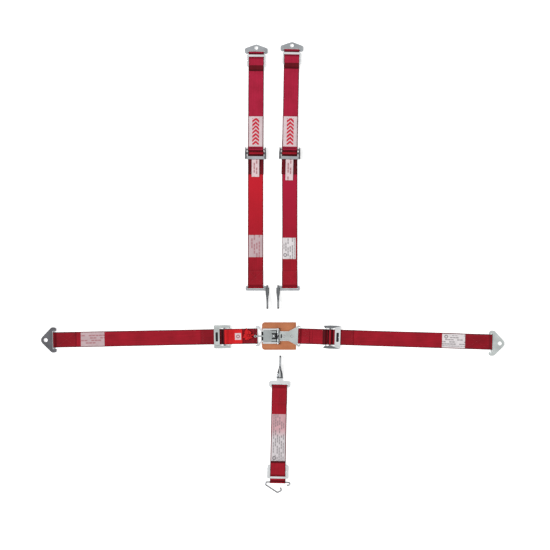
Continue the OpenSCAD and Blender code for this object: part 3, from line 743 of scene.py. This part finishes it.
def slide_wrap(prefix, place, start, length, z, node, material, fold):
    """The webbing that is threaded over a three-bar slide's middle bar, with its end folded under.

    fold is how far beyond the slide the painted shade on its folded end begins."""
    low = z + LAYER
    top = z + WEB_T + LAYER + 2 * GAP + SLIDE_T
    bar_end = start + SLIDE_BAR
    out = start + length
    over = [(2, top + 0.3 * MM), (7, top - 0.6 * MM), (10.5, top - 2.2 * MM)]
    under = [(12.5, low + 1.7 * MM), (11, low + 0.4 * MM), (4, low + 0.5 * MM)]
    path = [(bar_end + 0.7 * MM, low + LAYER), (bar_end + 2 * MM, low + LAYER), (bar_end + 7 * MM, top)]
    path += [(out + u * MM, height) for u, height in over + under]
    piece = strap(f"{prefix}_slide_wrap", place, path, material, WRAP_W)
    # Painted deep shade on the folded end.
    swap_webbing(piece, place, out + fold, out + 20 * MM, RED_DEEP_SHADED)
    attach(piece, f"{prefix}_glide")
    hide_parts(node)


def release_tab(prefix, place):
    """The folded ribbon that lifts the adjuster."""
    node = f"{prefix}_release_tab"
    start, end = place.span(node)
    thick = 0.55 * MM
    apart = 0.62 * MM
    low = [(start, 10.2 * MM), (start + 8 * MM, 8.8 * MM), (start + 27 * MM, 5.4 * MM),
           (end - 1.3 * MM, 4.0 * MM)]
    high = [(u, z + apart) for u, z in low]
    path = high + [(end, 4.4 * MM)] + low[::-1]
    piece = strap(f"{prefix}_tab", place, path, TAB_WHITE, TAB_W, thick)
    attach(piece, f"{prefix}_tab")
    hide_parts(node)


def crotch_strap():
    reach = CROTCH.reach("crotch_hook_swing")
    slide0, slide1 = CROTCH.span("crotch_slide_frame")
    path = near_loop(0, Z_LOW, 60 * MM) + far_loop(reach, Z_LOW, reach - slide0 + SLIDE_SEWN, SLIDE_SETTLE)
    sewn_strap("crotch_strap", CROTCH, path, "crotch", "crotch_web", RED)
    pattern = box_stitch(12 * MM, 56 * MM, SEWN_HALF)
    stitches("crotch_stitches", CROTCH, pattern, Z_LOW + SEWN_TOP, "crotch", THREAD_RED)
    strap_label("crotch_label", CROTCH, "crotch", LABEL_PINK, Z_LOW)
    slide_wrap("crotch", CROTCH.turned(reach), reach - slide1, slide1 - slide0, Z_LOW, "crotch_slide_web",
               RED, 7 * MM)


def pull_tail():
    """The bright free end that comes off the left lap adjuster's lock bar, with its small label."""
    place = LAP["left"].moved(LAP["left"].reach("lap_left_tilt"))
    points = [(15.5, 14.3), (10.5, 13.9), (6, 12.2), (1, 10.4), (-5, 9.2), (-14, 6.9), (-42, 5.6)]
    path = [(u * MM, z * MM) for u, z in points]
    width = WEB_W - 2 * MM
    piece = strap("lap_left_tail", place, path, BRIGHT, width, wander=0.8 * MM)
    tuple(place.at(8 * MM, 0, 12 * MM))
    tuple(place.at(-16 * MM, 0, 6.5 * MM))
    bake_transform(piece)
    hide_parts("lap_left_pull_tail")
    path = [(-18 * MM, 7.6 * MM), (-38 * MM, 6.75 * MM)]
    tag = strap("lap_left_tail_tag", place, path, TAG_WHITE, TAG_W, LABEL_T)
    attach(tag, "lap_left")
    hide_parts("lap_left_tail_label")


# ---------------------------------------------------------------- buckle's soft pieces


def pad_outline(inset):
    """The pad's outline, drawn in: round corners on the lever side, tight ones on the other."""
    half_l, half_w = (pad_high.x - pad_low.x) / 2, (pad_high.y - pad_low.y) / 2
    steps = 10
    points = []
    corners = [(half_l, half_w, 3 * MM, 0), (-half_l, half_w, 10 * MM, 90),
               (-half_l, -half_w, 10 * MM, 180), (half_l, -half_w, 3 * MM, 270)]
    for x, y, radius, start in corners:
        cx, cy = x - math.copysign(radius, x), y - math.copysign(radius, y)
        turn = max(radius - inset, 0.3 * MM)
        pull = inset - (radius - turn)
        for i in range(steps + 1):
            angle = math.radians(start + 90 * i / steps)
            px = cx - math.copysign(pull, x) + turn * math.cos(angle)
            py = cy - math.copysign(pull, y) + turn * math.sin(angle)
            points.append((px, py))
    dense = []
    for a, b in zip(points, points[1:] + points[:1]):
        count = 14 if math.dist(a, b) > 20 * MM else 1
        dense += [between(a, b, i / count) for i in range(count)]
    return dense


# From the pad's edge inwards: distance from the edge and drop below the top, in millimetres
PAD_ROWS = [(0.0, 1.9), (0.4, 0.9), (0.9, 0.4), (1.6, 0.12), (2.6, 0.05), (3.4, 0.30), (4.0, 0.42),
            (4.6, 0.30), (6.0, 0.06), (9.0, 0.0), (14.0, 0.0), (22.0, 0.0), (32.0, 0.0)]
SEAM_INSET = 4.0 * MM


def leather_pad():
    """A crowned leather pad with a turned edge and a stitched line."""
    height = pad_high.z
    underside = ((0.8 * MM, 0.0), (0.15 * MM, 0.7 * MM))
    rows = [[(x, y, z) for x, y in pad_outline(inset)] for inset, z in underside]
    for inset, drop in PAD_ROWS:
        row = []
        for x, y in pad_outline(inset * MM):
            wave = noise.noise(Vector((x * 30, y * 30, 3.0))) * 0.12 * MM if inset > 5 else 0
            row.append((x, y, height - drop * MM - 0.1 * MM + min(wave, 0.08 * MM)))
        rows.append(row)
    size = len(rows[0])
    vertices = [LEVEL.at(*corner) for row in rows for corner in row]
    faces = bands(0, len(rows), size)
    faces.append(tuple(range((len(rows) - 1) * size, len(rows) * size)))
    faces.append(tuple(reversed(range(size))))
    piece = new_object("pad", vertices, faces, LEATHER)
    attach(piece, "buckle")
    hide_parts("leather_pad")
    seam = pad_outline(SEAM_INSET)
    lines = list(zip(seam, seam[1:] + seam[:1]))
    stitches("pad_stitches", LEVEL, lines, height - 0.45 * MM, "buckle", THREAD_TAN, 2.8 * MM, 1.2 * MM,
             0.3 * MM)


# Each end of the ribbon: direction in degrees, length, width and height of its tip in millimetres, and
# the slant of its cut
RIBBON_ENDS = [(6, 19, 5, 11.6, 0), (70, 15, 14, 8.4, 0.3), (124, 20, 15, 7.6, -0.5), (190, 18, 15, 7.2, 0.4),
               (250, 17, 15, 8.0, -0.35), (306, 14, 12, 8.6, 0.3)]


def ribbon_end(middle, index, start):
    """One crumpled end: its corners, its faces, and each corner's place on the cloth.

    start is the number of its first corner."""
    turn, length, width, tip_z, slant = RIBBON_ENDS[index]
    steps, columns = 9, 9
    half_t = 0.4 * MM
    root_w = 4
    root_z = middle.z + 1.6 * MM
    angle = math.radians(turn)
    along = Vector((math.cos(angle), math.sin(angle), 0))
    over = Vector((-along.y, along.x, 0))
    vertices, faces, metres = [], [], []
    for face in (1, -1):
        for i in range(steps + 1):
            t = i / steps
            spread = (root_w + (width - root_w) * min(1, t * 1.5)) * MM / 2
            for k in range(columns):
                s = 2 * k / (columns - 1) - 1
                reach = length * MM * t * (1 + slant * s * t * 0.5)
                fold = math.sin(s * 4.2 + index * 1.7 + t * 1.6) * 0.7 * MM * (0.35 + 0.65 * t)
                height = root_z + (tip_z * MM - root_z) * t ** 1.3 + fold
                flat = middle + along * reach + over * s * spread
                vertices.append(Vector((flat.x, flat.y, height + face * half_t)))
                metres.append((s * spread, reach))
    sheet = (steps + 1) * columns
    for i in range(steps):
        for k in range(columns - 1):
            a = start + i * columns + k
            quad = (a, a + columns, a + columns + 1, a + 1)
            faces.append(quad)
            faces.append(tuple(q + sheet for q in reversed(quad)))
    rim = [start + k for k in range(columns)]
    rim += [start + i * columns + columns - 1 for i in range(1, steps + 1)]
    rim += [start + steps * columns + k for k in range(columns - 2, -1, -1)]
    rim += [start + i * columns for i in range(steps - 1, 0, -1)]
    for a, b in zip(rim, rim[1:] + rim[:1]):
        faces.append((a, b, b + sheet, a + sheet))
    return vertices, faces, metres


def ribbon_knot(middle, start):
    """The knot: a flattened round with a wrapped crease, in the same form as an end."""
    rings, sides = 8, 14
    vertices, metres = [], []
    for r in range(rings + 1):
        lift = math.pi * r / rings
        for k in range(sides):
            turn = math.tau * k / sides
            fat = 1 + 0.16 * math.sin(3 * turn + 2.5 * lift)
            x = math.sin(lift) * math.cos(turn) * 5.2 * fat
            y = math.sin(lift) * math.sin(turn) * 4.4 * fat
            vertices.append(middle + Vector((x, y, 1.9 + math.cos(lift) * 2.6)) * MM)
            metres.append((turn * 2 * MM, lift * 3 * MM))
    return vertices, bands(start, rings + 1, sides, inward=True), metres


def ribbon():
    """A short ribbon knotted through the lever's eye, with crumpled ends that stand out like a star."""
    low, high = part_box("lever_ribbon")
    middle = Vector((high.x - 17 * MM, (low.y + high.y) / 2 + 1 * MM, 9.6 * MM))
    vertices, faces, metres = [], [], []
    for index in range(len(RIBBON_ENDS) + 1):
        knot = index == len(RIBBON_ENDS)
        made = ribbon_knot(middle, len(vertices)) if knot else ribbon_end(middle, index, len(vertices))
        vertices += made[0]
        faces += made[1]
        metres += made[2]
    piece = new_object("pull_ribbon", vertices, faces, BRIGHT)
    layer = piece.data.uv_layers.new(name=CLOTH)
    for corner in piece.data.loops:
        layer.data[corner.index].uv = metres[corner.vertex_index]
    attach(piece, "lever")
    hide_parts("lever_ribbon")


# ---------------------------------------------------------------- metal


MERGE_ANGLE = math.radians(0.5)     # faces within this angle are one flat face
EDGE_ANGLE = math.radians(38)       # edges that turn by more than this are softened


def metal(material, *names, bevel=1.1 * MM, merged=False):
    """Gives CAD pieces their metal, with softened edges and flat faces that stay flat.

    merged joins each flat face's triangles first, for frames with small round corners."""
    for name in names:
        piece = NODES[name]
        mesh = piece.data
        mesh.materials.clear()
        mesh.materials.append(material)
        mesh.polygons.foreach_set("use_smooth", [True] * len(mesh.polygons))
        mesh.normals_split_custom_set([(0, 0, 0)] * len(mesh.loops))
        weld = piece.modifiers.new("weld", "WELD")
        weld.merge_threshold = 0.002 * MM
        if merged:
            planar = piece.modifiers.new("planar", "DECIMATE")
            planar.decimate_type = "DISSOLVE"
            planar.angle_limit = MERGE_ANGLE
        soft = piece.modifiers.new("bevel", "BEVEL")
        soft.width = bevel
        soft.segments = 3
        soft.limit_method = "ANGLE"
        soft.angle_limit = EDGE_ANGLE
        flat = piece.modifiers.new("normals", "WEIGHTED_NORMAL")
        flat.mode = "FACE_AREA"
        flat.weight = 100
        flat.keep_sharp = True


# Faces of a box whose corners count up along its first side, then its second and third
BOX_FACES = [(0, 2, 3, 1), (4, 5, 7, 6), (0, 1, 5, 4), (2, 6, 7, 3), (1, 3, 7, 5), (0, 4, 6, 2)]


def shade_plates(name, place, body, boxes):
    """Thin black plates that paint shade, seen only through the openings above them.

    Each box: its ends along the strap, half its width, and its underside and top."""
    vertices, faces = [], []
    for u0, u1, half, z0, z1 in boxes:
        faces += [tuple(k + len(vertices) for k in side) for side in BOX_FACES]
        vertices += [place.at(u, v, z) for z in (z0, z1) for v in (-half, half) for u in (u0, u1)]
    piece = new_object(name, vertices, faces, SHADE, smooth=False)
    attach(piece, body)


def square_wave(value):
    """A sine or cosine that is squared off, which rounds a rectangle's corners."""
    return math.copysign(abs(value) ** 0.5, value)


def twist(name, place, body, v, flat, upright):
    """The twisted neck of an end fitting, from a flat section to an upright one.

    Each section: distance u, height of its middle, width and thickness."""
    steps, sides = 14, 20
    vertices = []
    for i in range(steps + 1):
        t = i / steps
        smooth = t * t * (3 - 2 * t)
        u, z, width, thick = (a + (b - a) * t for a, b in zip(flat, upright))
        turn = smooth * math.pi / 2
        for k in range(sides):
            angle = math.tau * k / sides
            a = square_wave(math.cos(angle)) * width / 2
            b = square_wave(math.sin(angle)) * thick / 2
            height = max(z + a * math.sin(turn) + b * math.cos(turn), 0.1 * MM)
            vertices.append(place.at(u, v + a * math.cos(turn) - b * math.sin(turn), height))
    faces = bands(0, steps + 1, sides)
    faces.append(tuple(reversed(range(sides))))
    faces.append(tuple(range(steps * sides, (steps + 1) * sides)))
    piece = new_object(name, vertices, faces, GREY)
    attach(piece, body)


def twisted_necks():
    for side, place in LOWER.items():
        inwards = sum(place.width(f"shoulder_{side}_fitting"))
        v = math.copysign(38 * MM, inwards)
        twist(f"shoulder_{side}_twist", place, f"shoulder_{side}_end", v,
              (-1 * MM, 3.8 * MM, 12 * MM, 4 * MM), (-46 * MM, 9.2 * MM, 11 * MM, 6.4 * MM))
    twist("crotch_twist", CROTCH, "crotch_end", 0,
          (-24 * MM, 4.2 * MM, 21 * MM, 4.6 * MM), (-68 * MM, 9.2 * MM, 14 * MM, 6.4 * MM))


def painted_shade_insides():
    """Painted shade in the latch's pocket and under the slots of the lap adjusters."""
    floor_z = pad_high.z + 0.05 * MM
    floor_top = floor_z + 0.2 * MM
    shade_plates("latch_inside", LEVEL, "buckle", [
        (-57.5 * MM, -27.6 * MM, 19 * MM, floor_z, floor_top),
        (4 * MM, 11 * MM, 8 * MM, floor_z, floor_top),
        (-27.2 * MM, 0.5 * MM, 19.2 * MM, PLATE_TOP + 0.05 * MM, PLATE_TOP + 0.2 * MM)])
    for side, lap in LAP.items():
        bar = lap.reach(f"lap_{side}_tilt")
        shade_plates(f"lap_{side}_slot_shade", lap, f"lap_{side}_adjuster",
                    [(bar + 35 * MM, bar + 47 * MM, 17 * MM, 4.7 * MM, 4.95 * MM)])


for side_name in SIDES:
    lap_half(side_name)
    shoulder(side_name)
crotch_strap()
pull_tail()
leather_pad()
ribbon()
painted_shade_insides()
twisted_necks()

metal(CHROME, "latch_base", "link_plate")
metal(CHROME, "crotch_slide_frame", *[f"shoulder_{s}_slide" for s in SIDES], bevel=0.45 * MM, merged=True)
metal(LATCH, "latch_lever", "lever_hook", bevel=0.3 * MM)
metal(CHROME, "lever_rivet", "latch_rivets", bevel=0.2 * MM)
metal(CHROME, "crotch_fitting", "lap_right_adjuster_frame")
metal(SATIN, "lap_right_bracket", "lap_left_adjuster_frame")
metal(ZINC, *[f"shoulder_{s}_{n}" for s in SIDES for n in ("bracket", "fitting", "adjuster_frame")])
metal(DARK, "lap_left_bracket", *[f"{p}_{s}_lock_bar" for p in ("lap", "shoulder") for s in SIDES])
metal(WIRE_STEEL, "lever_pin", "lever_spring", "crotch_hook", bevel=0.1 * MM)


def second_metal(node, material, chosen):
    """Gives another metal to the faces whose middle passes a test."""
    mesh = NODES[node].data
    mesh.materials.append(material)
    for polygon in mesh.polygons:
        if chosen(polygon.center):
            polygon.material_index = len(mesh.materials) - 1


def dark_reflection_ears(node, material, place, plate):
    """Paints a dark reflection with a darker metal on the ears of an adjuster, from its loop bar to its
    plate.
    """
    inner = WEB_W / 2 + 0.5 * MM
    second_metal(node, material, lambda at: place.off_centre(at) > inner and place.along(at) < plate)


second_metal("latch_base", SATIN, lambda at: abs(at.z - PLATE_TOP) < 0.1 * MM)
for side_name, place in LOWER.items():
    second_metal(f"shoulder_{side_name}_fitting", GREY, lambda at: place.off_centre(at) > 34.5 * MM)
second_metal("crotch_fitting", ZINC, lambda at: CROTCH.along(at) < -60 * MM)
# The adjusters' ears get a darker metal than the rest of the frame: a painted dark reflection.
dark_reflection_ears("lap_right_adjuster_frame", GREY, LAP["right"], LAP["right"].reach("lap_right_tilt") + 31 * MM)
for side_name, place in UPPER.items():
    back = place.turned(place.reach(f"shoulder_{side_name}_tilt"))
    dark_reflection_ears(f"shoulder_{side_name}_adjuster_frame", EAR_REFLECTION_DARK, back, 31.4 * MM)

# ---------------------------------------------------------------- floor, light and camera


def floor():
    """A white surface that glows a little, so that only contact shadows show on it."""
    size = 40.0
    piece = new_object("floor", [(-size, -size, 0), (size, -size, 0), (size, size, 0), (-size, size, 0)],
                       [(0, 1, 2, 3)], None, smooth=False)
    piece.location.z = -0.2 * MM
    paint = Paint("pale_floor", 0.95, Specular_IOR_Level=0.1, Emission_Strength=0.45)
    paint.shader.inputs["Emission Color"].default_value = (1, 1, 1, 1)
    grain = paint.noise(paint.place(), 3, 2.0)
    paint.colour(paint.mix(grain, (0.88, 0.88, 0.88), (0.92, 0.92, 0.92)))
    piece.data.materials.clear()
    piece.data.materials.append(paint.material)


def sun(name, towards, power, spread):
    data = bpy.data.lights.new(name, "SUN")
    data.energy, data.angle = power, math.radians(spread)
    lamp = bpy.data.objects.new(name, data)
    lamp.rotation_euler = (-Vector(towards)).to_track_quat("-Z", "Y").to_euler()
    bpy.context.scene.collection.objects.link(lamp)


def world():
    """A bright ceiling over dark walls, so that plated edges read dark."""
    made = bpy.data.worlds.new("studio")
    made.use_nodes = True
    tree = made.node_tree
    direction = tree.nodes.new("ShaderNodeTexCoord").outputs["Generated"]
    axes = tree.nodes.new("ShaderNodeSeparateXYZ")
    tree.links.new(direction, axes.inputs[0])
    height = Wire(tree, axes.outputs[2]).ramp(0.12, 0.95)
    glow = height.step("POWER", 1.7) * 0.79 + 0.045
    background = tree.nodes["Background"]
    background.inputs["Color"].default_value = (1, 1, 1, 1)
    tree.links.new(glow.socket, background.inputs["Strength"])
    bpy.context.scene.world = made


def camera():
    """Straight above the harness, with the lap belt across the view."""
    data = bpy.data.cameras.new("camera")
    data.lens, data.sensor_width = 85, 36
    data.clip_end = 50
    view_width = 1.7875
    eye = bpy.data.objects.new("camera", data)
    eye.location = (7.5 * MM, -24 * MM, view_width * data.lens / data.sensor_width)
    bpy.context.scene.collection.objects.link(eye)
    bpy.context.scene.camera = eye


floor()
world()
sun("key", (-1.2, 0.1, 1.5), 1.9, 14)
sun("fill", (0.9, -0.6, 1.3), 0.6, 40)
bpy.context.scene.view_settings.view_transform = "Standard"
camera()
